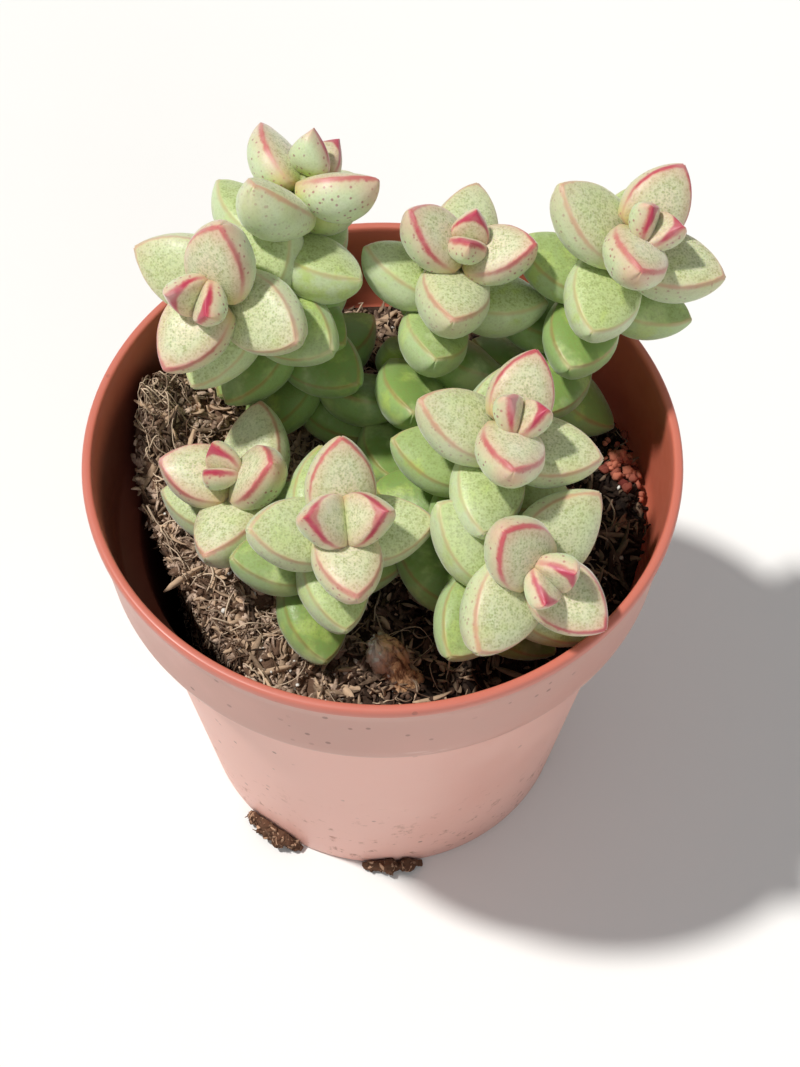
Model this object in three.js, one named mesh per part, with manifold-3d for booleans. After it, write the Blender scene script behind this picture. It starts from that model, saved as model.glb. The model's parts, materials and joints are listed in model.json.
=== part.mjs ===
import * as THREE from "three";
import { mergeVertices } from "three/addons/utils/BufferGeometryUtils.js";
import Module from "manifold-3d";

const wasm = await Module();
wasm.setup();

// Driving dimensions: millimetres and degrees, +Z up, origin under the middle of the pot
const potHeight = 76;
const rimRadius = 42.5;
const lipWidth = 1.3;
const collarHeight = 16.6;
const collarFootRadius = 40.6;
const shoulderRadius = 37.5;
const baseRadius = 30;
const floorThickness = 2.6;
const footRecess = 1.2;
const drainHoleRadius = 3;
const drainRingRadius = 18.5;
const drainHoleCount = 6;
const soilDepthBelowRim = 15;
const clearance = 0.3;
const stemRadiusAtFoot = 2;
const stemRadiusAtTip = 1.4;
const stemBurial = 7;
const potSides = 36;

// Growth of one leaf with its age, counted in pairs below the youngest pair
const leafLengthByAge = [3.2, 9.4, 12.6, 13.4, 13.2, 13, 12.8, 12.6, 12.4, 12, 11.6, 11];
const leafOpeningByAge = [14, 46, 66, 78, 86, 92, 97, 100, 102, 103, 104, 105];
const stepDownByAge = [0.3, 2, 4.6, 8.4, 12.8, 17.4, 22, 26.6, 31.2, 35.8, 40.4, 45];
const leafBreadthByAge = [1.45, 1.18, 1];
const leafWidthRatio = 0.69;
const leafDepthRatio = 0.47;
const leafCrownRatio = 0.12;

// Leafy stems: tip and foot places, lean of the head, turn of the youngest pair, age of that pair
const leafyStems = [
  { name: "leafy_stem_front", tip: [-4.5, -20.5, 88], foot: [-12, -17], lean: 26, toward: -80,
    footLean: 10, footToward: 30, turn: 7, age: 0.8, pairs: 7, size: 1, opening: 0, bare: [] },
  { name: "leafy_stem_middle_right", tip: [18, -9.5, 96], foot: [10, -6], lean: 15, toward: -35,
    footLean: 0, footToward: 0, turn: 170, age: 0.4, pairs: 9, size: 1, opening: 5, bare: [] },
  { name: "leafy_stem_low_right", tip: [21.9, -28.1, 86], foot: [12, -18], lean: 53, toward: -70,
    footLean: 15, footToward: -70, turn: 52, age: 0.4, pairs: 7, size: 1.05, opening: 5, bare: [] },
  { name: "leafy_stem_left", tip: [-24.5, 7, 99.5], foot: [-11, 15], lean: 55, toward: -113,
    footLean: 13, footToward: 50, turn: 149, age: 0.44, pairs: 9, size: 1.08, opening: 7, bare: [] },
  { name: "leafy_stem_low_left", tip: [-22, -6, 78], foot: [-18, -6], lean: 30, toward: 195,
    footLean: 0, footToward: 0, turn: 75, age: 0.3, pairs: 5, size: 1.04, opening: 5, bare: [] },
  { name: "leafy_stem_back", tip: [11.5, 19, 98], foot: [0, 8], lean: 16, toward: -66,
    footLean: 10, footToward: 60, turn: 80, age: 0.4, pairs: 10, size: 1.02, opening: 0, bare: ["5+"] },
  { name: "leafy_stem_right_back", tip: [36, 16.5, 104], foot: [15, 16], lean: 31, toward: -39,
    footLean: 50, footToward: 0, turn: 160, age: 0.4, pairs: 9, size: 1.04, opening: 0, bare: ["6+", "7+"] },
  { name: "leafy_stem_left_back", tip: [-9.9, 28, 103.5], foot: [-17, 25], lean: 53, toward: 61,
    footLean: 4, footToward: -32, turn: 54, age: 0.55, pairs: 9, size: 1.02, opening: 1, bare: [] },
];

// Finishes
const plastic = new THREE.MeshStandardMaterial({ color: 0xc96f55, roughness: 0.5, metalness: 0 });
const earth = new THREE.MeshStandardMaterial({ color: 0x5b4435, roughness: 0.95, metalness: 0 });
const bark = new THREE.MeshStandardMaterial({ color: 0x7a553c, roughness: 0.9, metalness: 0 });
const leafSkin = new THREE.MeshStandardMaterial({ color: 0xa9bf84, roughness: 0.6, metalness: 0 });

const radians = THREE.MathUtils.degToRad;
const lerp = THREE.MathUtils.lerp;

// A value between the entries of a table, read at a fractional place
function between(table, place) {
  const last = table.length - 1;
  const i = Math.min(Math.floor(place), last - 1);
  return lerp(table[i], table[i + 1], Math.min(place, last) - i);
}

// A repeatable number from -1 to 1 for each seed
function wobble(seed) {
  const wave = Math.sin(seed * 12.9898) * 43758.5453;
  return 2 * (wave - Math.floor(wave)) - 1;
}

// A closed skin over rings of points, which turn anticlockwise round the way they follow
function loft(startPole, rings, endPole) {
  const sides = rings[0].length;
  const points = [startPole, ...rings.flat(), endPole];
  const faces = [];
  const at = (ring, side) => 1 + ring * sides + (side % sides);
  const lastRing = rings.length - 1;
  for (let side = 0; side < sides; side++) {
    faces.push(0, at(0, side + 1), at(0, side));
    faces.push(points.length - 1, at(lastRing, side), at(lastRing, side + 1));
    for (let ring = 0; ring < lastRing; ring++) {
      faces.push(at(ring, side), at(ring, side + 1), at(ring + 1, side + 1));
      faces.push(at(ring, side), at(ring + 1, side + 1), at(ring + 1, side));
    }
  }
  const skin = new THREE.BufferGeometry().setFromPoints(points);
  skin.setIndex(faces);
  return skin;
}

// A closed geometry as a solid for joining and cutting
function solidOf(geometry) {
  const bare = geometry.clone();
  bare.deleteAttribute("normal");
  bare.deleteAttribute("uv");
  const merged = mergeVertices(bare, 1e-4);
  return new wasm.Manifold(
    new wasm.Mesh({
      numProp: 3,
      vertProperties: new Float32Array(merged.attributes.position.array),
      triVerts: new Uint32Array(merged.index.array),
    }),
  );
}

// The largest body of a solid as a geometry
function geometryOf(solid) {
  const bodies = solid.decompose();
  bodies.sort((a, b) => b.volume() - a.volume());
  const mesh = bodies[0].getMesh();
  const geometry = new THREE.BufferGeometry();
  geometry.setAttribute("position", new THREE.BufferAttribute(mesh.vertProperties, 3));
  geometry.setIndex(new THREE.BufferAttribute(mesh.triVerts, 1));
  geometry.computeVertexNormals();
  return geometry;
}

function join(solids) {
  return solids.reduce((all, one) => all.add(one));
}

function named(name, geometry, material) {
  const mesh = new THREE.Mesh(geometry, material);
  mesh.name = name;
  return mesh;
}

// Pot: one turned shell with a collar, a soft shoulder and a recessed underside
const shoulderHeight = potHeight - collarHeight;
const bodySlope = (shoulderRadius - baseRadius) / (shoulderHeight - 1.2);

function innerWallRadius(height) {
  return baseRadius - lipWidth + (height - floorThickness) * bodySlope;
}

function makePot() {
  const profile = [
    [0, 0],
    [11, 0],
    [11.8, footRecess],
    [25, footRecess],
    [25.8, 0],
    [baseRadius - 0.7, 0],
    [baseRadius, 0.7],
    [shoulderRadius, shoulderHeight - 1.2],
    [shoulderRadius + 1, shoulderHeight - 0.5],
    [collarFootRadius, shoulderHeight],
    [collarFootRadius + 0.3, shoulderHeight + 0.8],
    [rimRadius - 0.5, potHeight - 2],
    [rimRadius, potHeight - 1.6],
    [rimRadius, potHeight - 0.5],
    [rimRadius - 0.4, potHeight],
    [rimRadius - lipWidth, potHeight],
    [rimRadius - lipWidth - 0.2, potHeight - 0.5],
    [collarFootRadius - lipWidth, shoulderHeight + 1.2],
    [innerWallRadius(shoulderHeight - 1.5), shoulderHeight - 1.5],
    [innerWallRadius(floorThickness + 1), floorThickness + 1],
    [innerWallRadius(floorThickness) - 1, floorThickness],
    [0, floorThickness],
  ].map(([radius, height]) => new THREE.Vector2(radius, height));
  const shell = new THREE.LatheGeometry(profile, potSides).rotateX(Math.PI / 2);
  let pot = solidOf(shell);
  for (let i = 0; i < drainHoleCount; i++) {
    const angle = (i / drainHoleCount) * 2 * Math.PI;
    const drill = new THREE.CylinderGeometry(drainHoleRadius, drainHoleRadius, 8, 12).rotateX(Math.PI / 2);
    drill.translate(drainRingRadius * Math.cos(angle), drainRingRadius * Math.sin(angle), 1);
    pot = pot.subtract(solidOf(drill));
  }
  return pot;
}

// Soil: a rooted plug that has shrunk from the wall at the front left, lies on the pot's inner step elsewhere
// and stands higher at the back left and on the right
const soilHeight = potHeight - soilDepthBelowRim;
const shrinkDirection = 212;
const shrinkHalfWidth = 48;
const shrinkDepth = 3.6;
const brimReach = 3.4;
const ridgePlace = [-34.5, 14];
const ridgeSpread = 8;
const ridgeHeight = 7;
const bankPlace = [36, -6];
const bankSpread = 22;
const bankHeight = 3.6;

function mound(x, y, place, spread) {
  return Math.exp(-((Math.hypot(x - place[0], y - place[1]) / spread) ** 2));
}

function soilTop(x, y) {
  const lumps = 0.5 * Math.sin(0.55 * x + 1.3) * Math.sin(0.6 * y) + 0.35 * Math.sin(1.1 * x - 0.7 * y);
  const ridge = ridgeHeight * mound(x, y, ridgePlace, ridgeSpread);
  const bank = bankHeight * mound(x, y, bankPlace, bankSpread);
  return soilHeight - 0.03 * x + ridge + bank + lumps;
}

// The share of its greatest depth by which the plug has drawn in from the wall at an angle
function drawnShare(angle) {
  const off = Math.abs(THREE.MathUtils.radToDeg(angle) - shrinkDirection) / shrinkHalfWidth;
  return off < 1 ? Math.cos((off * Math.PI) / 2) ** 1.2 : 0;
}

function shrink(angle, height) {
  return shrinkDepth * drawnShare(angle) * THREE.MathUtils.smoothstep(height, 22, 52);
}

// How far from the middle the top of the plug reaches: over the pot's inner step where it has not drawn in
function edgeRadius(angle) {
  return innerWallRadius(57) - clearance - 0.3 - shrink(angle, 57) + brimReach * (1 - drawnShare(angle));
}

function makeSoil() {
  const sides = 30;
  const sideHeights = [floorThickness + 1 + clearance, 22, 40, 52, 58.2];
  const brimHeight = 61;
  const topShares = [0.97, 0.8, 0.6, 0.4, 0.2];
  const angles = Array.from({ length: sides }, (_, i) => (i / sides) * 2 * Math.PI);
  const rings = sideHeights.map((height) =>
    angles.map((angle) => {
      const radius = innerWallRadius(height) - clearance - 0.1 - shrink(angle, height);
      return new THREE.Vector3(radius * Math.cos(angle), radius * Math.sin(angle), height);
    }),
  );
  rings.push(
    angles.map((angle) => {
      const radius = edgeRadius(angle);
      return new THREE.Vector3(radius * Math.cos(angle), radius * Math.sin(angle), brimHeight);
    }),
  );
  for (const share of topShares)
    rings.push(
      angles.map((angle) => {
        const x = share * edgeRadius(angle) * Math.cos(angle);
        const y = share * edgeRadius(angle) * Math.sin(angle);
        return new THREE.Vector3(x, y, soilTop(x, y));
      }),
    );
  const under = new THREE.Vector3(0, 0, sideHeights[0]);
  return solidOf(loft(under, rings, new THREE.Vector3(0, 0, soilTop(0, 0))));
}

// A direction at a lean from upright, and the turn that carries upright to it
function leaning(lean, toward) {
  const axis = new THREE.Vector3(-Math.sin(radians(toward)), Math.cos(radians(toward)), 0);
  const turn = new THREE.Quaternion().setFromAxisAngle(axis, radians(lean));
  return { direction: new THREE.Vector3(0, 0, 1).applyQuaternion(turn), turn };
}

// The curve of a stem from tip to foot, with a side direction carried along it
function stemCourse(stem) {
  const tip = new THREE.Vector3(...stem.tip);
  const foot = new THREE.Vector3(stem.foot[0], stem.foot[1], soilHeight - 2);
  const head = leaning(stem.lean, stem.toward);
  const base = leaning(stem.footLean, stem.footToward).direction;
  const reach = tip.distanceTo(foot) * 0.4;
  const curve = new THREE.CubicBezierCurve3(
    tip,
    tip.clone().addScaledVector(head.direction, -reach),
    foot.clone().addScaledVector(base, reach),
    foot,
  );
  const length = curve.getLength();
  const turn = radians(stem.turn);
  const side = new THREE.Vector3(Math.cos(turn), Math.sin(turn), 0).applyQuaternion(head.turn);
  const steps = 80;
  const stations = [];
  for (let i = 0; i <= steps; i++) {
    const along = curve.getTangentAt(i / steps).negate();
    side.addScaledVector(along, -side.dot(along)).normalize();
    stations.push({ place: curve.getPointAt(i / steps), along, side: side.clone() });
  }
  return { length, base, at: (down) => stations[Math.round((Math.min(down, length) / length) * steps)] };
}

// The share of its greatest value that a leaf's width, depth or crown has at t along it
function swell(t, peak, rootShare, fall) {
  if (t < peak) return rootShare + (1 - rootShare) * Math.sin((Math.PI / 2) * (t / peak));
  return (1 - ((t - peak) / (1 - peak)) ** 2) ** fall;
}

// One fleshy leaf: a full, blunt keel under a gently domed upper face
function leafSolid({ place: root, direction: along, up, length, breadth }, extra) {
  const across = new THREE.Vector3().crossVectors(up, along);
  const sections = [0.08, 0.38, 0.72, 0.93];
  const outline = [[1, 0], [0, 1], [-1, 0], [-1.02, -0.55], [0, -1.02], [1.02, -0.55]];
  const place = (t, right, rise) =>
    root
      .clone()
      .addScaledVector(along, t * length)
      .addScaledVector(across, right)
      .addScaledVector(up, rise);
  const rings = sections.map((t) => {
    const halfWidth = 0.5 * leafWidthRatio * breadth * length * swell(t, 0.37, 0.8, 0.8) + extra;
    const crown = leafCrownRatio * length * swell(t, 0.4, 0.6, 0.9) + extra;
    const depth = leafDepthRatio * length * swell(t, 0.5, 0.5, 0.55) + extra;
    return outline.map(([right, rise]) => place(t, halfWidth * right, (rise > 0 ? crown : depth) * rise));
  });
  return solidOf(loft(place(-extra / length, 0, 0), rings, place(1 + (2 * extra) / length, 0, 0)));
}

// The leaves of a stem, in opposite pairs, each pair crossing the last
function leavesOf(stem, course) {
  const leaves = [];
  for (let pair = 0; pair < stem.pairs; pair++) {
    const age = pair + stem.age;
    const down = between(stepDownByAge, age) * stem.size;
    if (down > course.length - 2) break;
    const { place, along, side } = course.at(down);
    const cross = new THREE.Vector3().crossVectors(along, side);
    for (const sign of [1, -1]) {
      const label = pair + (sign > 0 ? "+" : "-");
      const seed = 17 * leafyStems.indexOf(stem) + 2 * pair + (sign > 0 ? 0 : 1);
      const opening = between(leafOpeningByAge, age) + (pair > 0 ? stem.opening : 0) + 3 * wobble(seed);
      const outward = (pair % 2 ? cross : side).clone().multiplyScalar(sign * (pair % 4 > 1 ? -1 : 1));
      const tilt = radians(opening);
      const direction = along.clone().multiplyScalar(Math.cos(tilt)).addScaledVector(outward, Math.sin(tilt));
      const up = along.clone().multiplyScalar(Math.sin(tilt)).addScaledVector(outward, -Math.cos(tilt));
      const length = between(leafLengthByAge, age) * stem.size * (1 + 0.03 * wobble(seed + 0.5));
      const breadth = between(leafBreadthByAge, age);
      const low = place.clone().addScaledVector(direction, 0.45 * length);
      low.addScaledVector(up, -leafDepthRatio * length);
      const buried = low.z < soilTop(low.x, low.y) - 1.5;
      if (!buried && !stem.bare.includes(label)) leaves.push({ place, direction, up, length, breadth });
    }
  }
  return leaves;
}

// A stem with its leaves fused on, swollen by extra all round where it is used to cut clearance
function stemSolid(stem, extra) {
  const course = stemCourse(stem);
  const sides = 6;
  const stretches = 6;
  const rings = [];
  const ringAt = (place, along, side, radius) => {
    const cross = new THREE.Vector3().crossVectors(along, side);
    return Array.from({ length: sides }, (_, i) => {
      const angle = (i / sides) * 2 * Math.PI;
      return place
        .clone()
        .addScaledVector(side, radius * Math.cos(angle))
        .addScaledVector(cross, radius * Math.sin(angle));
    });
  };
  const foot = course.at(course.length);
  const buried = foot.place.clone().addScaledVector(course.base, -stemBurial - extra);
  rings.push(ringAt(buried, foot.along, foot.side, stemRadiusAtFoot + extra));
  for (let i = 0; i < stretches; i++) {
    const { place, along, side } = course.at(course.length * (1 - i / stretches));
    const radius = lerp(stemRadiusAtFoot, stemRadiusAtTip, i / stretches) + extra;
    rings.push(ringAt(place, along, side, radius));
  }
  const stalk = solidOf(loft(buried, rings, course.at(0).place));
  const leaves = leavesOf(stem, course).map((leaf) => leafSolid(leaf, extra));
  return join([stalk, ...leaves]);
}

// Old woody stump between the front stems
const stumpFoot = [4.5, -29.5, soilHeight - 5];
const stumpTop = [-0.5, -26, soilHeight + 5.5];
const stumpRadius = 3;

function makeStump(extra) {
  const foot = new THREE.Vector3(...stumpFoot);
  const top = new THREE.Vector3(...stumpTop);
  const along = top.clone().sub(foot).normalize();
  foot.addScaledVector(along, -extra);
  const side = new THREE.Vector3(1, 0, 0).addScaledVector(along, -along.x).normalize();
  const cross = new THREE.Vector3().crossVectors(along, side);
  const sides = 9;
  const rings = [0, 0.35, 0.6, 0.85, 1].map((t, ring) =>
    Array.from({ length: sides }, (_, i) => {
      const angle = (i / sides) * 2 * Math.PI;
      const knot = 1 + 0.12 * wobble(31 * ring + i) - 0.3 * t;
      const radius = stumpRadius * knot + extra;
      return foot
        .clone()
        .lerp(top, t)
        .addScaledVector(along, t === 1 ? 0.9 * wobble(i + 7) : 0)
        .addScaledVector(side, radius * Math.cos(angle))
        .addScaledVector(cross, radius * Math.sin(angle));
    }),
  );
  return solidOf(loft(foot, rings, top.clone().addScaledVector(along, extra)));
}

// Dried crust of earth and fine roots that clings to the outside of the pot's foot
const crusts = [
  { name: "root_crust_left", from: 224, to: 245, height: 5, thickness: 3 },
  { name: "root_crust_front", from: 264, to: 283, height: 3.2, thickness: 2.2 },
];

function makeCrust(crust) {
  const sections = 7;
  const outerRadius = (height) => baseRadius + Math.max(0, height - 0.7) * bodySlope + clearance;
  const at = (degrees, radius, height) =>
    new THREE.Vector3(radius * Math.cos(radians(degrees)), radius * Math.sin(radians(degrees)), height);
  const rings = [];
  for (let i = 0; i < sections; i++) {
    const share = (i + 0.5) / sections;
    const degrees = lerp(crust.from, crust.to, share);
    const bulge = Math.sin(Math.PI * share) ** 0.6 * (1 + 0.25 * wobble(i + crust.from));
    const height = 0.3 + crust.height * bulge;
    const thickness = crust.thickness * bulge;
    rings.push([
      at(degrees, outerRadius(height), height),
      at(degrees, outerRadius(0.7) + thickness * 0.7, 0.3 + height * 0.7),
      at(degrees, outerRadius(0.7) + thickness, 0.3 + height * 0.25),
      at(degrees, outerRadius(0.7) + thickness * 0.6, 0.15),
      at(degrees, outerRadius(0.7), 0.15),
    ]);
  }
  const start = at(crust.from, outerRadius(1) + 0.3, 0.8);
  const end = at(crust.to, outerRadius(1) + 0.3, 0.8);
  return solidOf(loft(start, rings, end));
}

// Assembly: each later stem gives way to the ones before it, and the soil to them all
const plant = new THREE.Group();
plant.add(named("pot", geometryOf(makePot()), plastic));

let taken = makeStump(clearance);
plant.add(named("old_stump", geometryOf(makeStump(0)), bark));
for (const stem of leafyStems) {
  plant.add(named(stem.name, geometryOf(stemSolid(stem, 0).subtract(taken)), leafSkin));
  taken = taken.add(stemSolid(stem, clearance));
}
plant.add(named("soil", geometryOf(makeSoil().subtract(taken)), earth));
for (const crust of crusts) plant.add(named(crust.name, geometryOf(makeCrust(crust)), earth));

export default plant;
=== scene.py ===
import json
import math
import random

import bpy
import numpy as np
from mathutils import Matrix, Vector, noise

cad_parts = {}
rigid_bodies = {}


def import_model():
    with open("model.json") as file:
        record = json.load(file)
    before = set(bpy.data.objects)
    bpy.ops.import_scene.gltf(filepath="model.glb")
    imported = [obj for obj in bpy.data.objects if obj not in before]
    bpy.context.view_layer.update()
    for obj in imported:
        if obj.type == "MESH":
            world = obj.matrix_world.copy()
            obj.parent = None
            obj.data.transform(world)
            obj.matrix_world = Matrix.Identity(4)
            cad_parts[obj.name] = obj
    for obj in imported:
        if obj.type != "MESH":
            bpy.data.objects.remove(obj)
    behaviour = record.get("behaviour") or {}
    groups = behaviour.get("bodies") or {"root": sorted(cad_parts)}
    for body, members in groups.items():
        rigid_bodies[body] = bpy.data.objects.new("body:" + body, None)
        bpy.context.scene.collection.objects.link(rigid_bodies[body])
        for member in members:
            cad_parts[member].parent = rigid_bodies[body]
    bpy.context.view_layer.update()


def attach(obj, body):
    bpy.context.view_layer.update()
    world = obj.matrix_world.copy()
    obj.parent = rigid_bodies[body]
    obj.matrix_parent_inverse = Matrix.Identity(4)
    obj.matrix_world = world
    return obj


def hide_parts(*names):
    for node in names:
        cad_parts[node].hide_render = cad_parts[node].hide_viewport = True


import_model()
mm = 0.001
print("frame loaded")


# small helpers for meshes and node trees

def srgb(red, green, blue):
    # a colour given on a 0-255 scale, as the linear colour that shaders use
    def linear(value):
        share = value / 255
        return share / 12.92 if share <= 0.04045 else ((share + 0.055) / 1.055) ** 2.4
    return (linear(red), linear(green), linear(blue), 1)


def addNode(tree, kind, wires=(), **settings):
    made = tree.nodes.new(kind)
    for name, value in settings.items():
        setattr(made, name, value)
    for place, value in dict(wires).items():
        socket = made.inputs[place]
        if isinstance(value, bpy.types.NodeSocket):
            tree.links.new(value, socket)
        else:
            socket.default_value = value
    return made


def maths(tree, operation, first, second=0.0, clamp=False):
    wires = {0: first, 1: second}
    return addNode(tree, "ShaderNodeMath", wires, operation=operation, use_clamp=clamp).outputs[0]


def vectorMaths(tree, operation, wires):
    return addNode(tree, "ShaderNodeVectorMath", wires, operation=operation).outputs[0]


def times(tree, first, *others):
    for other in others:
        first = maths(tree, "MULTIPLY", first, other)
    return first


def plus(tree, first, second, clamp=False):
    return maths(tree, "ADD", first, second, clamp)


def minus(tree, first, second):
    return maths(tree, "SUBTRACT", first, second)


def spread(tree, value, low, high, start=0.0, end=1.0):
    # value between low and high becomes start to end, with soft ends
    wires = {"Value": value, "From Min": low, "From Max": high, "To Min": start, "To Max": end}
    return addNode(tree, "ShaderNodeMapRange", wires, interpolation_type="SMOOTHSTEP").outputs[0]


def blendColour(tree, share, first, second, way="MIX"):
    wires = {0: share, 6: first, 7: second}
    return addNode(tree, "ShaderNodeMix", wires, data_type="RGBA", blend_type=way).outputs[2]


def noiseAt(tree, place, scale, detail=3.0, roughness=0.5, distortion=0.0):
    wires = {"Vector": place, "Scale": scale, "Detail": detail, "Roughness": roughness}
    wires["Distortion"] = distortion
    return addNode(tree, "ShaderNodeTexNoise", wires).outputs[0]


def cells(tree, place, scale):
    return addNode(tree, "ShaderNodeTexVoronoi", {"Vector": place, "Scale": scale}).outputs["Distance"]


def parted(tree, place):
    return addNode(tree, "ShaderNodeSeparateXYZ", {0: place}).outputs


def attribute(tree, name):
    return addNode(tree, "ShaderNodeAttribute", attribute_name=name).outputs["Fac"]


def named(tree, name, kind="FLOAT"):
    return addNode(tree, "GeometryNodeInputNamedAttribute", {"Name": name}, data_type=kind).outputs[0]


def newMaterial(name, roughness, specular=0.5):
    material = bpy.data.materials.new(name)
    material.use_nodes = True
    tree = material.node_tree
    shader = tree.nodes["Principled BSDF"]
    shader.inputs["Roughness"].default_value = roughness
    shader.inputs["Specular IOR Level"].default_value = specular
    place = addNode(tree, "ShaderNodeTexCoord").outputs["Object"]
    return material, tree, shader, place


def addBump(tree, shader, height, strength, distance):
    wires = {"Height": height, "Strength": strength, "Distance": distance}
    bump = addNode(tree, "ShaderNodeBump", wires)
    tree.links.new(bump.outputs[0], shader.inputs["Normal"])


def addDepth(shader, weight, radius, scale):
    # light that goes a little way into the surface
    for label, value in (("Weight", weight), ("Radius", radius), ("Scale", scale)):
        shader.inputs["Subsurface " + label].default_value = value


def newPiece(name, points, faces, edges=(), material=None):
    mesh = bpy.data.meshes.new(name)
    mesh.from_pydata([tuple(point) for point in points], list(edges), list(faces))
    mesh.update()
    mesh.polygons.foreach_set("use_smooth", [True] * len(mesh.polygons))
    piece = bpy.data.objects.new(name, mesh)
    bpy.context.scene.collection.objects.link(piece)
    if material:
        mesh.materials.append(material)
    return piece


def setAttribute(mesh, name, values, kind="FLOAT"):
    layer = mesh.attributes.new(name, kind, "POINT")
    slot = "vector" if kind == "FLOAT_VECTOR" else "value"
    layer.data.foreach_set(slot, np.array(values, np.float32).ravel())


def newTree(name, inputs):
    tree = bpy.data.node_groups.new(name, "GeometryNodeTree")
    face = tree.interface
    face.new_socket("Geometry", in_out="INPUT", socket_type="NodeSocketGeometry")
    sockets = {}
    for label, kind in inputs.items():
        made = face.new_socket(label, in_out="INPUT", socket_type="NodeSocket" + kind)
        sockets[label] = made.identifier
    face.new_socket("Geometry", in_out="OUTPUT", socket_type="NodeSocketGeometry")
    start = tree.nodes.new("NodeGroupInput").outputs
    end = tree.nodes.new("NodeGroupOutput").inputs
    return tree, start, end, sockets


def runTree(piece, tree, sockets, values):
    # grows the tree's geometry on the piece and keeps it as a plain mesh
    modifier = piece.modifiers.new(tree.name, "NODES")
    modifier.node_group = tree
    for label, value in values.items():
        modifier[sockets[label]] = value
    graph = bpy.context.evaluated_depsgraph_get()
    grown = bpy.data.meshes.new_from_object(piece.evaluated_get(graph))
    piece.modifiers.remove(modifier)
    seedMesh = piece.data
    piece.data = grown
    bpy.data.meshes.remove(seedMesh)
    piece.data.name = piece.name
    return piece


def keepAs(piece, slotName, *nodes):
    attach(piece, "root")
    if nodes:
        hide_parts(*nodes)


def wobble(seed):
    # the same repeatable number from -1 to 1 that the solids use
    wave = math.sin(seed * 12.9898) * 43758.5453
    return 2 * (wave - math.floor(wave)) - 1


def ringFaces(ringCount, sides, first=0):
    faces = []
    for ring in range(ringCount - 1):
        for side in range(sides):
            a = first + ring * sides + side
            b = first + ring * sides + (side + 1) % sides
            faces.append((a, b, b + sides, a + sides))
    return faces


def closeEnds(faces, count, sides, first, last):
    # fans from the first ring to one point and from the last ring to another
    start = count - sides
    for i in range(sides):
        faces.append((first, (i + 1) % sides, i))
        faces.append((last, start + i, start + (i + 1) % sides))


def roundPoint(radius, angle, level):
    return Vector((radius * math.cos(angle), radius * math.sin(angle), level))


def soften(share):
    share = min(max(share, 0.0), 1.0)
    return share * share * (3 - 2 * share)


def tubeAlong(tree, path, sides, radiusName):
    line = addNode(tree, "GeometryNodeMeshToCurve", {0: path}).outputs[0]
    circle = addNode(tree, "GeometryNodeCurvePrimitiveCircle", {"Resolution": sides, "Radius": 1.0})
    wires = {
        "Curve": line, "Profile Curve": circle.outputs[0],
        "Scale": named(tree, radiusName), "Fill Caps": True,
    }
    return addNode(tree, "GeometryNodeCurveToMesh", wires).outputs[0]


# camera

cameraSetup = {
    "place": (2.559, -165.059, 305.961),  # mm
    "pitchDown": 56.8085,                 # degrees below the horizon
    "roll": 0.5975,
    "lens": 67.479,                       # mm on a 36 mm sensor
}


def addCamera(setup):
    pitch = math.radians(setup["pitchDown"])
    roll = math.radians(setup["roll"])
    ahead = Vector((0, math.cos(pitch), -math.sin(pitch)))
    level = Vector((1, 0, 0))
    above = level.cross(ahead)
    right = math.cos(roll) * level + math.sin(roll) * above
    up = -math.sin(roll) * level + math.cos(roll) * above
    data = bpy.data.cameras.new("photoCamera")
    data.lens = setup["lens"]
    data.sensor_width = 36
    data.clip_start = 0.01
    camera = bpy.data.objects.new("photoCamera", data)
    camera.matrix_world = Matrix((right, up, -ahead)).transposed().to_4x4()
    camera.location = Vector(setup["place"]) * mm
    bpy.context.scene.collection.objects.link(camera)
    bpy.context.scene.camera = camera


addCamera(cameraSetup)
print("camera set")


# pot

potShape = {
    "height": 76.0, "rim": 42.5, "lip": 1.3, "collar": 16.6, "collarFoot": 40.93, "innerStep": 39.25,
    "shoulder": 37.5, "shoulderDrop": 1.2, "base": 30.0, "baseRound": 0.7, "floor": 2.6,
    "hub": 10.6, "footRing": 26.4, "footRecess": 1.2,  # the underside: a hub, a recess and a ring
    "drainHole": 3.0, "drainRing": 18.5, "drainHoles": 6, "drillSides": 32, "segments": 168,
}


def wallSlope():
    run = potShape["height"] - potShape["collar"] - potShape["shoulderDrop"]
    return (potShape["shoulder"] - potShape["base"]) / run


def innerWall(level):
    return potShape["base"] - potShape["lip"] + (level - potShape["floor"]) * wallSlope()


def outerWall(level):
    return potShape["base"] + max(0, level - potShape["baseRound"]) * wallSlope()


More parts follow.
